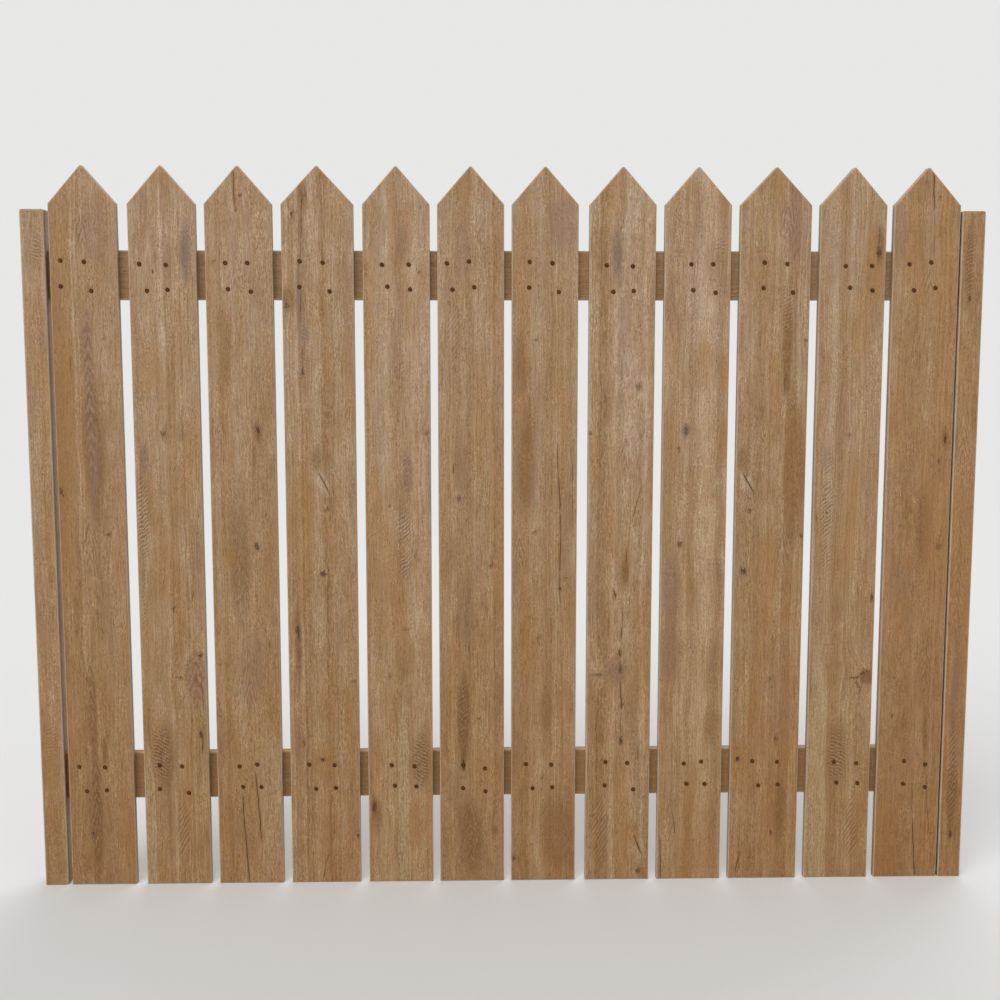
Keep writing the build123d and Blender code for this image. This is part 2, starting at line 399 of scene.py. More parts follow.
class FenceOakSettings(bpy.types.PropertyGroup):
    """Colours and weights of the oak's finish."""

    pale: colour_setting("Pale wood", "Palest growth of the oak", linear(182, 159, 134))
    body: colour_setting("Body", "Usual colour of the oak", linear(160, 129, 95))
    dark: colour_setting("Dark growth", "Darkest growth of the oak", linear(135, 98, 57))
    heart: colour_setting("Heart", "Brown heart streaks", linear(125, 89, 49))
    amber: colour_setting("Amber", "Warm yellow-brown stretches", linear(157, 116, 70))
    olive: colour_setting("Olive", "Small greenish tan patches", linear(160, 132, 88))
    rose: colour_setting("Rose", "Small pinkish patches", linear(168, 130, 102))
    stroke: colour_setting("Stroke", "Dark strokes of the ladder figure", linear(98, 66, 36))
    plum: colour_setting("Plum", "Faint pinkish grey stretches", linear(138, 107, 86))
    smoke: colour_setting("Smoke", "Grey-violet smudges", linear(124, 101, 84))
    grey: colour_setting("Grey strip", "Pale greyish sapwood strips", linear(178, 158, 130))
    knot: colour_setting("Knot", "Dark middle of a knot", linear(70, 40, 13))
    # The split colour is painted shade: the dark inside of the open splits
    split: colour_setting("Split", "Inside of a split", linear(44, 27, 12))
    # The worn arris colour is a painted highlight, laid pale on the eased edges
    arris: colour_setting("Worn arris", "Bleached wood on worn edges", linear(188, 170, 148))
    foot: colour_setting("Foot tint", "What the colour is multiplied by at the foot", (0.87, 0.77, 0.60))
    roughness: bpy.props.FloatProperty(
        name="Roughness", description="Roughness of planed oak", default=0.62, subtype="FACTOR", min=0, max=1)
    relief: length_setting("Grain relief", "Height of the grain in the finish", 0.00035)


class FenceNailSettings(bpy.types.PropertyGroup):
    """Sizes and colours of the nails."""

    head_radius: length_setting("Head radius", "Radius of a nail's head", 0.0039)
    crown: length_setting("Crown", "How far the head's middle stands proud of the board", 0.0011)
    shank_radius: length_setting("Shank radius", "Radius of a nail's shank", 0.0015)
    length: length_setting("Length", "Length of a nail under its head", 0.0345)
    iron: colour_setting("Iron", "Dark brown of the heads", linear(76, 44, 15))
    # The rubbed iron colour is a painted highlight on the domed middle of the heads
    crown_highlight: colour_setting("Rubbed iron", "Paler middle of the heads", linear(102, 68, 34))


class FenceStageSettings(bpy.types.PropertyGroup):
    """Floor, light and camera."""

    floor: colour_setting("Floor", "Colour of the floor", (0.74, 0.74, 0.735))
    backdrop: colour_setting("Backdrop", "Colour behind the fence", (0.80, 0.80, 0.795))
    sky: bpy.props.FloatProperty(name="Sky", description="Strength of the even light all round", default=0.52)
    key: bpy.props.FloatProperty(name="Key", description="Strength of the soft lamp in front", default=1.6)
    back: bpy.props.FloatProperty(name="Back", description="Strength of the soft lamp behind", default=1.0)
    eye: bpy.props.FloatVectorProperty(
        name="Camera", description="Where the camera stands", subtype="TRANSLATION", unit="LENGTH",
        default=(0.79827, -2.64787, 1.06815))
    yaw: bpy.props.FloatProperty(
        name="Yaw", description="Turn of the camera to the right of straight ahead", subtype="ANGLE",
        default=math.radians(1.4540))
    dip: bpy.props.FloatProperty(
        name="Dip", description="How far the camera looks down", subtype="ANGLE",
        default=math.radians(6.8105))
    lens: bpy.props.FloatProperty(
        name="Lens", description="Focal length in millimetres on a 36 mm sensor", default=50.0)


def wave(across, along, cell_across, cell_along, seed):
    """Smooth unevenness from -1 to 1.

    Random heights on a square lattice are blended between the four nearest by t*t*(3 - 2*t) both ways.
    """
    cells = 64
    lattice = np.random.default_rng(seed).uniform(-1, 1, (cells, cells))
    u, v = np.broadcast_arrays(across / cell_across, along / cell_along)
    column, row = np.floor(u).astype(int), np.floor(v).astype(int)
    s, t = u - column, v - row
    s, t = s * s * (3 - 2 * s), t * t * (3 - 2 * t)

    def corner(right, up):
        return lattice[(column + right) % cells, (row + up) % cells]

    low = corner(0, 0) * (1 - s) + corner(1, 0) * s
    high = corner(0, 1) * (1 - s) + corner(1, 1) * s
    return low * (1 - t) + high * t


def welded(points, faces):
    """Which mesh points are kept when coincident ones are made one, and the faces between those.

    A point's identity is its place to a thousandth of a millimetre. A face keeps each corner once, and goes
    if fewer than three are left.
    """
    steps_per_metre = 1e6
    keys = np.round(points * steps_per_metre).astype(np.int64)
    _, first, group = np.unique(keys, axis=0, return_index=True, return_inverse=True)
    corners = group.reshape(-1)[faces]
    kept = corners != np.roll(corners, 1, axis=1)
    whole = kept.all(axis=1)
    fans = [tuple(face[keep]) for face, keep in zip(corners[~whole], kept[~whole]) if keep.sum() > 2]
    return first, corners[whole].tolist() + [tuple(int(c) for c in fan) for fan in fans]


def surface_object(name, points, faces, attributes, sharp=math.radians(42)):
    """Object of one closed surface, smooth but for edges sharper than the angle given."""
    first, corners = welded(points, faces)
    mesh = bpy.data.meshes.new(name)
    mesh.from_pydata(points[first].tolist(), [], corners)
    mesh.polygons.foreach_set("use_smooth", np.ones(len(mesh.polygons), bool))
    mesh.set_sharp_from_angle(angle=sharp)
    for label, values in attributes.items():
        layer = mesh.attributes.new(label, "FLOAT", "POINT")
        layer.data.foreach_set("value", values[first].astype(np.float32))
    mesh.validate()
    mesh.update()
    piece = bpy.data.objects.new(name, mesh)
    bpy.context.scene.collection.objects.link(piece)
    return piece


def ring_faces(rings, around):
    """Quads between neighbouring rings of a grid whose rows are closed rings of the same number of points."""
    row, column = np.meshgrid(np.arange(rings - 1), np.arange(around), indexing="ij")
    beside = (column + 1) % around
    quads = np.stack([
        row * around + column, row * around + beside,
        (row + 1) * around + beside, (row + 1) * around + column], axis=-1)
    return quads.reshape(-1, 4)


def fallen(inside, radius):
    """How far the quarter circle of an eased edge lies below the face, at a depth inside the outline."""
    rim = np.clip(radius - inside, 0, radius)
    return radius - np.sqrt(radius ** 2 - rim ** 2)


def seam_place(seam, up):
    """Across position of a seam at each height: straight between its points, with a slow wander."""
    wander, turns_every = 0.0007, 0.012
    path = np.array(seam.path[::-1] if seam.path[0][1] > seam.path[-1][1] else seam.path, float) * MM
    straight = np.interp(up, path[:, 1], path[:, 0])
    seed = int(sum(point[0] for point in seam.path))
    return straight + wander * wave(0 * up, up, 1.0, turns_every, seed)


def seam_gape(seam, up):
    """Half width and depth of a seam's opening at each height.

    Each gape swells from nothing at its ends as (4*s*(1 - s))**0.4 and is uneven along its length. Where the
    seam is shut it keeps a small half width, so that its mesh lines stay apart.
    """
    shut_half, uneven_every = 0.0005, 0.017
    half, depth = np.full(up.shape, shut_half), np.zeros(up.shape)
    for low, high, half_width, deep in seam.gapes:
        share = np.clip((up / MM - low) / (high - low), 0, 1)
        swell = (4 * share * (1 - share)) ** 0.4
        swell = swell * (0.7 + 0.3 * wave(0 * up, up, 1.0, uneven_every, int(low + high)))
        inside = swell > 0.01
        half = np.where(inside, np.maximum(half_width * MM * (0.5 + 0.5 * swell), half), half)
        depth = np.maximum(depth, deep * MM * swell)
    return half, depth


class PointedBoard:
    """A pointed board's face plane: outline, lines and rows, all worked out from the CAD node's box."""

    def __init__(self, node, board, sizes):
        self.low, self.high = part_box(node)
        self.board, self.sizes = board, sizes
        self.width = self.high.x - self.low.x
        self.apex = sizes.shoulder + sizes.rise
        # The slants' outward normals point up from the level by this angle
        self.slant = math.atan(self.width / 2 / sizes.rise)
        self.tip_centre = self.apex - sizes.tip_radius / math.sin(self.slant)
        self.top = self.tip_centre + sizes.tip_radius

    def half_width(self, up):
        """Half the board's width at a height: full to the shoulder, then ever less, then the tip's arc."""
        straight = np.minimum(self.width / 2, (self.apex - up) * math.tan(self.slant))
        above = up - self.tip_centre
        arc = np.sqrt(np.maximum(self.sizes.tip_radius ** 2 - above ** 2, 0))
        return np.where(above > self.sizes.tip_radius * math.sin(self.slant), arc, straight)

    def inside(self, across, up):
        """Depth of a point inside the outline: the least distance to side, foot, slant and tip arc."""
        reach = np.abs(across)
        depth = np.minimum(self.width / 2 - reach, up)
        depth = np.minimum(depth, (self.apex - up) * math.sin(self.slant) - reach * math.cos(self.slant))
        above = up - self.tip_centre
        arc = self.sizes.tip_radius - np.hypot(reach, above)
        return np.maximum(np.where(above > reach * math.tan(self.slant), np.minimum(arc, depth), depth), 0)

    def rows(self):
        """Heights of the mesh rows: crowded at the foot's arris, the nails, the shoulder and the tip."""
        sizes, turn = self.sizes, np.linspace(0, math.pi / 2, 5)
        foot, least_step = 0.004, 0.0003
        tangent = self.tip_centre + sizes.tip_radius * math.sin(self.slant)
        rows = [
            sizes.arris * (1 - np.cos(turn)),
            np.arange(sizes.arris + foot, sizes.shoulder, sizes.row_spacing),
            np.arange(sizes.shoulder, tangent, sizes.fine_spacing),
            self.tip_centre + sizes.tip_radius * np.sin(np.linspace(self.slant, math.pi / 2, 6)),
        ]
        for rail in RAIL_NODES:
            low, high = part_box(rail)
            rows.append(np.arange(low.z, high.z, sizes.fine_spacing))
        rows = np.unique(np.round(np.concatenate(rows), 6))
        crowded = np.concatenate([[False], np.diff(rows) < least_step])
        return rows[~(crowded & (rows > foot) & (rows < tangent))]

    def lines(self, up):
        """Across positions of the lines up the face at each height.

        Five lines crowd at each seam, and between seams the lines share the wood out evenly.
        """
        edge, clear = self.width / 2 - self.sizes.arris, 0.0018
        seams = sorted(self.board.seams, key=lambda seam: seam.path[0][0])
        walls = [np.full(up.shape, -edge)]
        for seam in seams:
            walls.append(np.clip(seam_place(seam, up) - self.width / 2, clear - edge, edge - clear))
        walls.append(np.full(up.shape, edge))
        lines = []
        for index, (near, far) in enumerate(zip(walls, walls[1:])):
            count = max(3, round(float(np.mean(far - near)) / self.sizes.line_spacing))
            start, end = (clear if index else 0.0), (clear if index < len(seams) else 0.0)
            share = np.linspace(0, 1, count)[:, None]
            lines.append(near + start + (far - near - start - end) * share)
            if index < len(seams):
                half = seam_gape(seams[index], up)[0]
                lines.append(far + half * np.array((-1.1, -0.55, 0, 0.55, 1.1))[:, None])
        return np.concatenate(lines)

    def hollows(self):
        """Places of the board's nails, across from its middle and up."""
        places = []
        for rail, (group, across, up) in zip(reversed(RAIL_NODES), (self.board.upper, self.board.lower)):
            for right, above in NAIL_SETS[group]:
                places.append((across * MM + right * MM - self.width / 2, middle(rail).z + (up + above) * MM))
        return places

    def sunk(self, across, up, inside):
        """How far the face lies below flat, the split share that paints shade into the splits, and the
        darkening share, at each point.

        The arris is a quarter circle, a gape is a bell across its seam, and a nail's hollow is a bell round
        it. The wood is darkened round the nails and more thinly beside the gapes.
        """
        sizes = self.sizes
        fade, deep_enough, darkening_reach, darkening_beside = 0.002, 0.0008, 0.004, 0.9
        sunk = fallen(inside, sizes.arris)
        split, stain = np.zeros(across.shape), np.zeros(across.shape)
        clear = np.clip((inside - sizes.arris) / fade, 0, 1)
        for seam in self.board.seams:
            half, depth = seam_gape(seam, up)
            aside = across - seam_place(seam, up) + self.width / 2
            bell = np.exp(-(aside / half) ** 2 * 1.4)
            open_here = np.clip(depth / deep_enough, 0, 1)
            sunk = sunk + depth * bell * clear
            split = np.maximum(split, open_here * bell * clear)
            stain = np.maximum(stain, darkening_beside * open_here * np.exp(-(aside / darkening_reach) ** 2))
        for place_across, place_up in self.hollows():
            distance = np.hypot(across - place_across, up - place_up)
            bell = np.exp(-(distance / sizes.hollow_radius) ** 2)
            sunk = sunk + sizes.hollow_depth * bell
            stain = np.maximum(stain, bell)
        return sunk, split, stain

    def piece(self, name, seed):
        """The closed board, a stack of rings from foot to tip: front, right side, back and left side."""
        sizes, up = self.sizes, self.rows()
        calm, back_split, side_highlight = 0.01, 0.0003, 0.45
        half = self.half_width(up)
        # The tip ends in one line from front to back
        half[-1] = 0
        lean = np.where(up > sizes.shoulder, 1 / math.cos(self.slant), 1.0)
        turn = np.linspace(0, math.pi / 2, 5)[:, None]
        eased = np.minimum(sizes.arris * (1 - np.cos(turn)) * lean, half)
        limit = np.maximum(half - sizes.arris * lean, 0)
        inner = np.clip(self.lines(up), -limit, limit)
        across = np.concatenate([-half + eased, inner, (half - eased)[::-1]])
        inside = self.inside(across, up)
        sunk, split, stain = self.sunk(across, up, inside)
        planed = sizes.planing * np.clip(inside / calm, 0, 1)
        front = self.low.y + sunk + planed * (1 + wave(across, up, 0.045, 0.21, seed)) / 2
        back_sunk = fallen(inside, sizes.arris) + split * back_split
        back = self.high.y - back_sunk - planed * (1 + wave(across, up, 0.05, 0.17, seed + 1)) / 2
        side = np.linspace(0, 1, 4)[1:-1, None]
        right, left = front[-1] + (back[-1] - front[-1]) * side, back[0] + (front[0] - back[0]) * side
        edge = np.repeat(half[None], 2, 0)
        ring_x = np.concatenate([across, edge, across[::-1], -edge])
        ring_y = np.concatenate([front, right, back[::-1], left])
        none = np.zeros(right.shape)
        # Share of the painted highlight: full on the eased edges, fading onto the faces, and a little on the
        # sides
        wear = np.clip(1 - inside / (1.5 * sizes.arris), 0, 1)
        # The foot closes on the middle line of the board's thickness
        foot_y = np.full_like(ring_y[:, :1], (self.low.y + self.high.y) / 2)
        xs = np.concatenate([ring_x[:, :1], ring_x], axis=1).T + self.low.x + self.width / 2
        ys = np.concatenate([foot_y, ring_y], axis=1).T
        zs = np.broadcast_to(np.concatenate([[up[0]], up])[:, None], xs.shape)
        points = np.stack([xs, ys, zs], axis=-1).reshape(-1, 3)

        def spread(on_front, on_side, on_back):
            values = np.concatenate([on_front, none + on_side, on_back[::-1], none + on_side])
            return np.concatenate([values[:, :1], values], axis=1).T.reshape(-1)

        # The split share carries painted shade into the splits, and less of it on the back
        return surface_object(name, points, ring_faces(len(up) + 1, len(ring_x)), {
            "split": spread(split, 0, 0.6 * split),
            "stain": spread(stain, 0, 0 * stain),
            "wear": spread(wear, side_highlight, wear)})


def nails_object(name, places, face, sizes, seed):
    """Nails driven along +Y at (along, up) places of a face.

    One profile of radius and depth is turned round each axis. Every nail leans a few degrees, and its head is
    drawn out by up to 16 per cent from upper left to lower right.
    """
    radius, shank, crown = sizes.head_radius, sizes.shank_radius, sizes.crown
    around, count, point, point_radius = 20, len(places), 0.003, 0.0003
    profile = np.array((
        (0, -crown), (0.35 * radius, -0.98 * crown), (0.66 * radius, -0.86 * crown),
        (0.88 * radius, -0.58 * crown), (0.98 * radius, -0.22 * crown), (radius, 0.12 * crown),
        (0.93 * radius, 0.42 * crown), (shank, 1.5 * crown), (shank, sizes.length - point),
        (point_radius, sizes.length), (0, sizes.length)))
    random = np.random.default_rng(seed)
    angle = np.linspace(0, 2 * math.pi, around, endpoint=False)
    circle = np.stack([np.cos(angle), np.sin(angle)], axis=-1)
    diagonal = np.array((1, -1)) / math.sqrt(2)
    drawn = random.uniform(0.03, 0.16, count)[:, None]
    circle = circle[None] + drawn[..., None] * (circle @ diagonal)[None, :, None] * diagonal
    flat = profile[None, :, None, 0, None] * circle[:, None]
    depth = np.broadcast_to(profile[None, :, None, 1], flat.shape[:3])
    lean = np.tan(random.uniform(-0.05, 0.05, (count, 2)))[:, None, None]
    sunk = random.uniform(-0.0001, 0.0002, count)[:, None, None]
    xz = np.array(places)[:, None, None] + flat + depth[..., None] * lean
    tip = flat[..., 0] * -lean[..., 0] + flat[..., 1] * -lean[..., 1]
    points = np.stack([xz[..., 0], face + depth + sunk + tip, xz[..., 1]], axis=-1)
    quads = ring_faces(len(profile), around)[:, ::-1]
    per_nail = len(profile) * around
    faces = (quads[None] + per_nail * np.arange(count)[:, None, None]).reshape(-1, 4)
    crowning = np.broadcast_to(np.clip(-profile[:, 1] / crown, 0, 1)[None, :, None], flat.shape[:3])
    return surface_object(name, points.reshape(-1, 3), faces, {"crown": crowning.reshape(-1)})


class Term:
    """A socket in a material's sums: the operators and calls below add the Math node that they name."""

    def __init__(self, recipe, socket):
        self.recipe, self.socket = recipe, socket

    def output(self, key):
        """Another output of the same node."""
        return Term(self.recipe, self.socket.node.outputs[key])

    def math(self, operation, *others):
        return self.recipe.add("ShaderNodeMath", {"operation": operation}, [self, *others])

    def __add__(self, other):
        return self.math("ADD", other)

    def __sub__(self, other):
        return self.math("SUBTRACT", other)

    def __rsub__(self, other):
        return self.recipe.add("ShaderNodeMath", {"operation": "SUBTRACT"}, [other, self])

    def __mul__(self, other):
        return self.math("MULTIPLY", other)

    def __truediv__(self, other):
        return self.math("DIVIDE", other)

    def __abs__(self):
        return self.math("ABSOLUTE")

    __radd__, __rmul__ = __add__, __mul__

    def sine(self):
        return self.math("SINE")

    def larger(self, other):
        return self.math("MAXIMUM", other)

    def step(self, low, high):
        """0 below low, 1 above high and a smooth slope between; the reverse when low is the larger."""
        return self.recipe.add(
            "ShaderNodeMapRange", {"interpolation_type": "SMOOTHSTEP"},
            {"Value": self, "From Min": low, "From Max": high})


class Recipe:
    """The nodes of one material or world. Every node is made by add, and colours go through mix."""

    def __init__(self, owner):
        self.owner = owner
        owner.use_nodes = True
        self.tree = owner.node_tree
        self.tree.nodes.clear()

    def add(self, kind, settings=None, inputs=(), output=0):
        """One output of a new node, whose settings are made first and then its sockets' values or links."""
        node = self.tree.nodes.new(kind)
        for key, value in (settings or {}).items():
            if key == "stops":
                self.set_stops(node.color_ramp, value)
            else:
                setattr(node, key, value)
        for key, value in inputs.items() if isinstance(inputs, dict) else enumerate(inputs):
            if isinstance(value, Term):
                self.tree.links.new(value.socket, node.inputs[key])
            else:
                node.inputs[key].default_value = value
        return Term(self, node.outputs[output]) if node.outputs else node

    @staticmethod
    def set_stops(ramp, stops):
        """Put a ramp's stops at these (place, colour) pairs."""
        while len(ramp.elements) < len(stops):
            ramp.elements.new(0.5)
        for element, (place, colour) in zip(ramp.elements, stops):
            element.position, element.color = place, (*colour, 1)

    def mix(self, share, under, over, mode="MIX"):
        """The colour over laid on the colour under, by a share."""
        under, over = [c if isinstance(c, Term) else (*c, 1) for c in (under, over)]
        settings = {"data_type": "RGBA", "blend_type": mode}
        return self.add("ShaderNodeMix", settings, {0: share, 6: under, 7: over}, 2)

    def point(self, across, deep, along):
        return self.add("ShaderNodeCombineXYZ", {}, [across, deep, along])

    def placed(self, place, corner, turn=(0, 0, 0), unit=(1, 1, 1)):
        """The same place as seen from a corner, with axes turned by these angles and steps of this unit."""
        return self.add("ShaderNodeMapping", {"vector_type": "TEXTURE"}, {
            "Vector": place, "Location": tuple(corner), "Rotation": turn, "Scale": unit})

    def noise(self, place, stretch, detail=1.0, roughness=0.5, move=(0, 0, 0)):
        """Noise from 0 to 1 whose features are as long each way as stretch says, in the units of place."""
        local = self.add("ShaderNodeMapping", {}, {
            "Vector": place, "Location": move, "Scale": tuple(1 / length for length in stretch)})
        return self.add("ShaderNodeTexNoise", {}, {
            "Vector": local, "Scale": 1.0, "Detail": detail, "Roughness": roughness})

    def line_noise(self, value, length, detail=1.0, roughness=0.5):
        """Noise from 0 to 1 along one number."""
        return self.add("ShaderNodeTexNoise", {"noise_dimensions": "1D"}, {
            "W": value / length, "Scale": 1.0, "Detail": detail, "Roughness": roughness})

    def attribute(self, name):
        return self.add("ShaderNodeAttribute", {"attribute_name": name}, {}, 2)

    def seen(self):
        """1 for rays from the camera, also by way of a mirror or a glass, and 0 for the rays of light."""
        path = self.add("ShaderNodeLightPath")
        straight, mirrored, through = [
            path.output(f"Is {kind} Ray") for kind in ("Camera", "Glossy", "Transmission")]
        return straight.larger(mirrored).larger(through)

    def finish(self, colour, roughness, height, relief, specular=0.4):
        """Surface from the colour, the roughness and a height that Bump turns to relief in metres."""
        bump = self.add("ShaderNodeBump", {}, {"Strength": 1.0, "Distance": relief, "Height": height})
        surface = self.add("ShaderNodeBsdfPrincipled", {}, {
            "Base Color": colour, "Roughness": roughness, "Normal": bump, "Specular IOR Level": specular})
        self.add("ShaderNodeOutputMaterial", {}, [surface])
        return self.owner


class Oak(Recipe):
    """Oak with its grain up the piece, or along X where it is turned a quarter about Y.

    The piece's millimetre coordinates (across, deep, along) give the distance from a pith behind it. Noise
    along that distance makes the growth lines, drawn-out noise makes fibres and flecks, and each mark is laid
    over them.
    """

    def __init__(self, name, settings, wood, seed, corner, turn):
        super().__init__(bpy.data.materials.new(name))
        self.settings, self.wood = settings, wood
        self.random = np.random.default_rng(seed)
        self.objects = self.add("ShaderNodeTexCoord", output=3)
        self.flat = self.placed(self.objects, corner, (0, turn, 0), (MM, MM, MM))
        self.across = self.add("ShaderNodeSeparateXYZ", {}, [self.flat])
        self.deep, self.along = self.across.output(1), self.across.output(2)
        # Each noise is as coarse, in millimetres across, deep and along, as its three numbers say
        wander = self.own_noise(self.flat, (45, 90, 150)) - 0.5
        self.small = self.own_noise(self.flat, (9, 12, 26)) - 0.5
        self.bent = self.across + wander * 14 + self.small * 1.6
        self.loose = self.point(self.bent, self.deep, self.along + self.small * 12)
        self.blotch = self.own_noise(self.loose, (10, 18, 26)) - 0.5
        self.fibre = self.own_noise(self.loose, (1.6, 2.0, 42), 2.0, 0.6) - 0.5
        self.fleck = self.own_noise(self.loose, (2.1, 2.4, 6.5), 1.0, 0.6) - 0.5
        self.grit = self.own_noise(self.flat, (1.6, 1.6, 4.2), 0.0) - 0.5
        self.torn = self.point(self.across + self.fleck * 13, self.deep, self.along + self.grit * 16)

    def own_noise(self, place, stretch, detail=1.0, roughness=0.5):
        """Noise from 0 to 1 in a stretch of the noise that no other part of the oak uses."""
        return self.noise(place, stretch, detail, roughness, tuple(self.random.uniform(0, 90, 3)))

    def spot(self, place, across, up, half, tall, lean, soft):
        """Share from 0 at an ellipse's rim to 1 inside it; its long axis leans by the slope given."""
        local = self.placed(place, (across, 0, up), (0, -math.atan(lean), 0), (half, 1000, tall))
        ball = self.add("ShaderNodeTexGradient", {"gradient_type": "SPHERICAL"}, {"Vector": local}, 1)
        return ball.step(0.0, soft)

    def stretch_spot(self, place, mark, wider, longer, lean=0.0, soft=0.6):
        """The spot of a streak or a figure, which runs from low to high."""
        centre, tall = (mark.low + mark.high) / 2, (mark.high - mark.low) / 2
        return self.spot(place, mark.across, centre, mark.half * wider, tall * longer, lean, soft)

    def rings(self, middle_across):
        """Distance from the pith, which lies behind the piece and to one side, pushed out round the knots."""
        side = middle_across + self.random.uniform(-70, 70)
        behind = self.random.uniform(50, 110)
        ring = self.add("ShaderNodeVectorMath", {"operation": "LENGTH"}, [
            self.point(self.bent - side, self.deep - behind, 0.0)], 1)
        for knot in (Knot(*mark) for mark in self.wood.knots):
            reach = 3.2 * max(knot.half, 2.5)
            bend = self.spot(self.flat, knot.across, knot.up, reach, reach * 2.4, knot.lean, 1.0)
            ring = ring + bend * (8.0 * knot.strength)
        return ring

    def ground(self, middle_across):
        """The wood's own colour: growth lines, clouds, fibres, flecks and rays, warmer and cooler in places.

        The rays' pale curls lie where a noise crosses its middle, in patches. Glint keeps the fine light and
        dark that is laid over every mark in the end.
        """
        settings, mix = self.settings, self.mix
        broad_line, growth_line = 15.0, 3.6
        ring = self.rings(middle_across)
        broad = self.line_noise(ring + self.random.uniform(0, 900), broad_line, 2.0) - 0.5
        self.growth = self.line_noise(ring + self.random.uniform(0, 900), growth_line, 2.0, 0.6) - 0.5
        cloud = self.own_noise(self.loose, (30, 60, 110), 2.0) - 0.5
        patch = self.own_noise(self.loose, (20, 30, 55), 0.0)
        level = abs(self.own_noise(self.flat, (6, 8, 14)) - 0.5)
        fine = self.fleck * 0.22 + self.growth * 0.28 + self.fibre * 0.5 + self.grit * patch * 0.6
        fine = fine + level.step(0.04, 0.008) * patch.step(0.48, 0.62) * 0.11
        self.glint = 1.0 + fine * 1.15
        tone = fine + broad * 0.68 + cloud * 0.68 + self.blotch * 0.26 + (0.505 + self.wood.shade)
        colour = self.add("ShaderNodeValToRGB", {"stops": (
            (0.08, settings.dark), (0.47, settings.body), (0.9, settings.pale))}, [tone])
        warmth = self.own_noise(self.loose, (42, 80, 240))
        colour = mix(warmth.step(0.50, 0.72) * 0.6, colour, settings.amber)
        colour = mix(warmth.step(0.46, 0.26) * 0.35, colour, settings.plum)
        blush = self.own_noise(self.loose, (9, 16, 30))
        colour = mix(blush.step(0.52, 0.70) * 0.45, colour, settings.olive)
        colour = mix(blush.step(0.48, 0.30) * 0.45, colour, settings.rose)
        return mix(self.wood.warmth, colour, settings.amber)

    def streaked(self, colour):
        """Long stretches of another colour, broken up by the flecks."""
        ragged = 0.8 + self.fleck * 2.4 + self.fibre * 2.0 + self.growth * 0.6
        for streak in (Streak(*mark) for mark in self.wood.streaks):
            share = self.stretch_spot(self.loose, streak, 1.5, 1.15, streak.lean, streak.soft)
            tint = getattr(self.settings, streak.tint)
            colour = self.mix(share * ragged * (1.05 * streak.strength), colour, tint)
        return colour

    def figured(self, colour):
        """Ladders of short slanting strokes, dark beside pale, and folded ones: nested peaks of grain."""
        rung, fold = 6.2, 27.0
        for figure in (Figure(*mark) for mark in self.wood.figures):
            share = self.stretch_spot(self.torn, figure, 1.5, 1.3)
            skew = self.across - figure.across
            if figure.folded:
                phase = self.along + abs(skew + self.small * 8) * (figure.slope * 1.6) + self.blotch * 26
                rhythm = (phase * (2 * math.pi / fold)).sine() + self.fleck * 3.0
                weight = 0.5 * figure.strength
            else:
                # The steeper the strokes, the further apart up the board, so that they stay as far apart
                step_up = rung * math.hypot(1, figure.slope)
                phase = self.along - skew * figure.slope + self.small * 9 + self.blotch * 12
                rhythm = (phase * (2 * math.pi / step_up)).sine() + self.grit * 3.6 + self.fleck * 2.4
                weight = 0.7 * figure.strength
            dark = rhythm.step(0.3, 1.0) * share
            pale = rhythm.step(-0.4, -1.0) * share
            colour = self.mix(dark * weight, colour, self.settings.stroke)
            colour = self.mix(pale * (0.6 * weight), colour, self.settings.pale)
        return colour

    def knotted(self, colour):
        """Knots and pecks: a dark torn middle in a browner halo."""
        halo_share = 0.55 + self.fleck * 2.0 + self.growth * 1.6
        for knot in (Knot(*mark) for mark in self.wood.knots):
            place = knot.across, knot.up
            halo = self.spot(self.loose, *place, knot.half * 3.0, knot.tall * 2.2, knot.lean, 1.0)
            core = self.spot(self.torn, *place, knot.half * 1.2, knot.tall * 1.15, knot.lean, 0.5)
            colour = self.mix(halo * halo_share * (0.75 * knot.strength), colour, self.settings.heart)
            colour = self.mix(core * (0.9 * knot.strength), colour, self.settings.knot)
        return colour

    def speckled(self, colour):
        """Open pores as short dark dashes, and the fine light and dark of the grain over every mark."""
        pores = self.own_noise(self.loose, (1.2, 1.2, 9), 0.0)
        colour = self.mix(pores.step(0.64, 0.76) * 0.34, colour, self.settings.knot)
        return self.add("ShaderNodeVectorMath", {"operation": "SCALE"}, {
            "Vector": colour, "Scale": self.glint})

    def footed(self, colour, height):
        """The colour, ever warmer and darker towards the foot of a standing piece of this height."""
        rise = (self.along / height).step(0.0, 1.0)
        return self.mix(1.0 - rise, colour, self.mix(1.0, colour, self.settings.foot, "MULTIPLY"))

    # Where the pale painted highlight goes on a bar: its long edges
    def highlit_edges(self, low, high):
        """Share that is 1 on the long edges of a bar with these corners and 0 on its faces."""
        half = (high - low) / 2
        apart = self.add("ShaderNodeSeparateXYZ", {}, [self.placed(self.objects, (high + low) / 2)])
        grain = max(range(3), key=lambda axis: half[axis])
        first, second = [half[axis] - abs(apart.output(axis)) for axis in range(3) if axis != grain]
        return first.larger(second).step(0.006, 0.0)


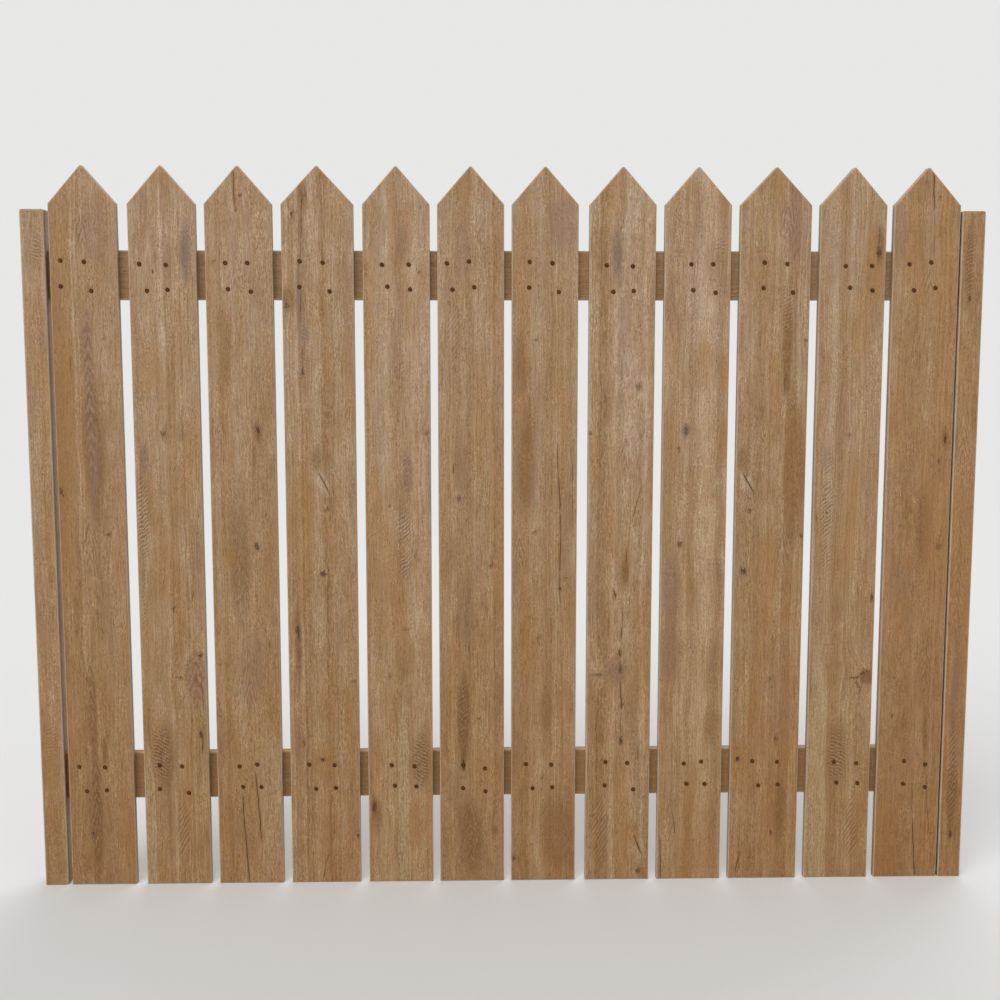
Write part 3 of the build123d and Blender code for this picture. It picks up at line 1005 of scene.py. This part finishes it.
def oak(name, settings, wood, seed, corner, middle_across, height=None, turn=0.0, bar=None):
    """The oak of one piece: the painted highlight on a bar's edges comes from its corners, on a board's from
    its mesh.
    """
    recipe = Oak(name, settings, wood, seed, corner, turn)
    colour = recipe.ground(middle_across)
    colour = recipe.knotted(recipe.figured(recipe.streaked(colour)))
    colour = recipe.speckled(colour)
    if height:
        colour = recipe.footed(colour, height)
    if bar:
        wear = recipe.highlit_edges(*bar)
    else:
        wear, split, stain = [recipe.attribute(label) for label in ("wear", "split", "stain")]
        ragged = 1.0 + (recipe.fleck * 1.6 + recipe.fibre * 0.8)
        # Browner wood round the nails and beside the gapes
        colour = recipe.mix((stain * ragged).step(0.2, 1.0) * 0.55, colour, settings.heart)
        # Painted shade inside the open splits
        colour = recipe.mix((split * ragged).step(0.15, 0.8) * 0.95, colour, settings.split)
    # Painted highlight: the pale arris colour laid on the eased edges
    colour = recipe.mix(wear.step(0.3, 0.9) * (0.7 + recipe.fibre * 1.2), colour, settings.arris)
    roughness = settings.roughness + recipe.growth * -0.12 + recipe.fibre * 0.2
    grain = recipe.own_noise(recipe.flat, (1.6, 2.0, 24), 1.0, 0.6)
    return recipe.finish(colour, roughness, grain, settings.relief)


def nail_iron(settings):
    """Dull brown iron with a pale painted highlight on the crown, and rust in patches."""
    recipe = Recipe(bpy.data.materials.new("nail_iron"))
    objects = recipe.add("ShaderNodeTexCoord", output=3)
    grain = recipe.noise(objects, (0.0012, 0.0012, 0.0012), 3.0)
    patches = recipe.noise(objects, (0.03, 0.03, 0.03), 2.0)
    crown = recipe.attribute("crown")
    # Painted highlight: the paler colour on the crown of each head
    colour = recipe.mix(crown.step(0.7, 1.0) * (0.2 + grain * 0.5), settings.iron, settings.crown_highlight)
    colour = recipe.mix(patches.step(0.45, 0.7) * 0.4, colour, tuple(0.55 * c for c in settings.iron))
    return recipe.finish(colour, 0.6 + grain * 0.2, grain, 0.00012, specular=0.12)


def dressed(piece, material, slot, *nodes):
    """Give a new piece its material and the body it rides on, in place of the CAD nodes named. The slot is
    not used.
    """
    piece.data.materials.append(material)
    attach(piece, "root")
    if nodes:
        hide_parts(*nodes)


class FENCE_OT_boards(bpy.types.Operator):
    """Make the twelve pointed boards with their splits, nail hollows and eased arrises"""

    bl_idname = "fence.boards"
    bl_label = "Boards"

    def execute(self, context):
        scene = context.scene
        if len(BOARD_NODES) != len(BOARDS):
            raise RuntimeError("the frame has another number of pickets than the boards described here")
        for index, (node, board) in enumerate(zip(BOARD_NODES, BOARDS)):
            form = PointedBoard(node, board, scene.fence_timber)
            piece = form.piece(node.replace("picket", "board"), seed=40 + 3 * index)
            material = oak(
                f"oak_{node}", scene.fence_oak, board.wood, 11 + index, form.low, form.width / 2 / MM,
                form.top / MM)
            dressed(piece, material, "boards", node)
        return {"FINISHED"}


class FENCE_OT_nails(bpy.types.Operator):
    """Drive four nails through each board into each rail"""

    bl_idname = "fence.nails"
    bl_label = "Nails"

    def execute(self, context):
        settings = context.scene.fence_nails
        iron = nail_iron(settings)
        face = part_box(BOARD_NODES[0])[0].y
        for rail in RAIL_NODES:
            low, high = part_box(rail)
            places = []
            for node, board in zip(BOARD_NODES, BOARDS):
                form = PointedBoard(node, board, context.scene.fence_timber)
                centre = form.low.x + form.width / 2
                places += [(centre + across, up) for across, up in form.hollows() if low.z < up < high.z]
            piece = nails_object(f"{rail}_nails", places, face, settings, seed=len(places) + len(rail))
            dressed(piece, iron, "boards")
        return {"FINISHED"}


class FENCE_OT_frame(bpy.types.Operator):
    """Finish the rails and the posts, whose shapes are the CAD model's own"""

    bl_idname = "fence.frame"
    bl_label = "Rails and posts"

    def execute(self, context):
        settings = context.scene.fence_oak
        rail_middle, post_middle, along_x = 46, 22, math.radians(90)
        for seed, node in enumerate(RAIL_NODES, 71):
            low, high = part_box(node)
            self.cover(node, oak(
                node, settings, BARS[node], seed, low, rail_middle, turn=along_x, bar=(low, high)))
        for seed, node in enumerate(POST_NODES, 81):
            low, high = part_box(node)
            self.cover(node, oak(
                node, settings, BARS[node], seed, low, post_middle, high.z / MM, bar=(low, high)))
        return {"FINISHED"}

    @staticmethod
    def cover(node, material):
        """Put the material in place of every one that the node came with."""
        mesh = frame["nodes"][node].data
        mesh.materials.clear()
        mesh.materials.append(material)


class FENCE_OT_stage(bpy.types.Operator):
    """Lay the pale floor and set the soft light and the camera"""

    bl_idname = "fence.stage"
    bl_label = "Stage"

    def execute(self, context):
        settings = context.scene.fence_stage
        self.floor(settings)
        self.sky(context.scene, settings)
        self.lamp("key_lamp", settings.key, (48, 0, -28))
        self.lamp("back_lamp", settings.back, (50, 0, 160))
        lens = bpy.data.cameras.new("camera")
        lens.lens, lens.sensor_width = settings.lens, 36
        camera = bpy.data.objects.new("camera", lens)
        camera.location = settings.eye
        camera.rotation_euler = (math.pi / 2 - settings.dip, 0, -settings.yaw)
        context.scene.collection.objects.link(camera)
        context.scene.camera = camera
        context.scene.view_settings.view_transform = "Standard"
        return {"FINISHED"}

    @staticmethod
    def floor(settings):
        """A level disc of rings about the fence's middle: radius by turn, with each ring wider than the last.

        Far out it glows with the backdrop's colour where the camera sees it, so that no edge shows.
        """
        centre = (CAD_BOX[0][0] + CAD_BOX[1][0]) / 2
        radii, turns = np.array((0.0, 1, 2, 4, 8, 16, 40)), np.linspace(0, 2 * math.pi, 64, endpoint=False)
        radius, turn = np.meshgrid(radii, turns, indexing="ij")
        points = np.stack([centre + radius * np.cos(turn), radius * np.sin(turn), 0 * turn], axis=-1)
        faces = ring_faces(len(radii), len(turns))[:, ::-1]
        floor = surface_object("floor", points.reshape(-1, 3), faces, {})
        recipe = Recipe(bpy.data.materials.new("pale_floor"))
        objects = recipe.add("ShaderNodeTexCoord", output=3)
        distance = recipe.add("ShaderNodeVectorMath", {"operation": "LENGTH"}, [
            recipe.placed(objects, (centre, 0, 0))], 1)
        paper = recipe.noise(objects, (0.4, 0.4, 0.4), 2.0)
        colour = recipe.mix(paper * 0.04, settings.floor, tuple(0.8 * c for c in settings.floor))
        matt = recipe.add("ShaderNodeBsdfPrincipled", {}, {"Base Color": colour, "Roughness": 0.9})
        glow = recipe.add("ShaderNodeEmission", {}, {"Color": (*settings.backdrop, 1), "Strength": 1.0})
        far = recipe.seen() * distance.step(2.0, 7.0)
        recipe.add("ShaderNodeOutputMaterial", {}, [recipe.add("ShaderNodeMixShader", {}, [far, matt, glow])])
        floor.data.materials.append(recipe.owner)

    @staticmethod
    def sky(scene, settings):
        """Even light from all round, with the backdrop's colour where the camera looks past the fence."""
        scene.world = bpy.data.worlds.new("studio")
        recipe = Recipe(scene.world)
        light = recipe.add("ShaderNodeBackground", {}, {"Color": (1, 1, 1, 1), "Strength": settings.sky})
        wall = recipe.add("ShaderNodeBackground", {}, {"Color": (*settings.backdrop, 1), "Strength": 1.0})
        either = recipe.add("ShaderNodeMixShader", {}, [recipe.seen(), light, wall])
        recipe.add("ShaderNodeOutputWorld", {}, [either])

    @staticmethod
    def lamp(name, strength, turn):
        """A very soft distant lamp, turned by these degrees from straight down."""
        light = bpy.data.lights.new(name, "SUN")
        light.energy, light.angle = strength, math.radians(50)
        lamp = bpy.data.objects.new(name, light)
        lamp.rotation_euler = [math.radians(degrees) for degrees in turn]
        bpy.context.scene.collection.objects.link(lamp)


class FENCE_PT_sidebar(bpy.types.Panel):
    """The fence's operators and settings"""

    bl_idname = "FENCE_PT_sidebar"
    bl_label = "Picket fence panel"
    bl_space_type = "VIEW_3D"
    bl_region_type = "UI"
    bl_category = "Fence"

    def draw(self, context):
        for operator, group in STEPS:
            box = self.layout.box()
            box.operator(operator.bl_idname)
            settings = getattr(context.scene, group)
            for name in type(settings).__annotations__:
                box.prop(settings, name)


GROUPS = {
    "fence_timber": FenceTimberSettings,
    "fence_oak": FenceOakSettings,
    "fence_nails": FenceNailSettings,
    "fence_stage": FenceStageSettings,
}
STEPS = (
    (FENCE_OT_boards, "fence_timber"),
    (FENCE_OT_nails, "fence_nails"),
    (FENCE_OT_frame, "fence_oak"),
    (FENCE_OT_stage, "fence_stage"),
)
CLASSES = (*GROUPS.values(), *(operator for operator, group in STEPS), FENCE_PT_sidebar)


def register():
    for cls in CLASSES:
        bpy.utils.register_class(cls)
    for name, group in GROUPS.items():
        setattr(bpy.types.Scene, name, bpy.props.PointerProperty(type=group))


def unregister():
    for name in GROUPS:
        delattr(bpy.types.Scene, name)
    for cls in reversed(CLASSES):
        bpy.utils.unregister_class(cls)


def main():
    """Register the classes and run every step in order."""
    register()
    bpy.ops.fence.boards()
    bpy.ops.fence.nails()
    bpy.ops.fence.frame()
    bpy.ops.fence.stage()


if __name__ == "__main__":
    main()
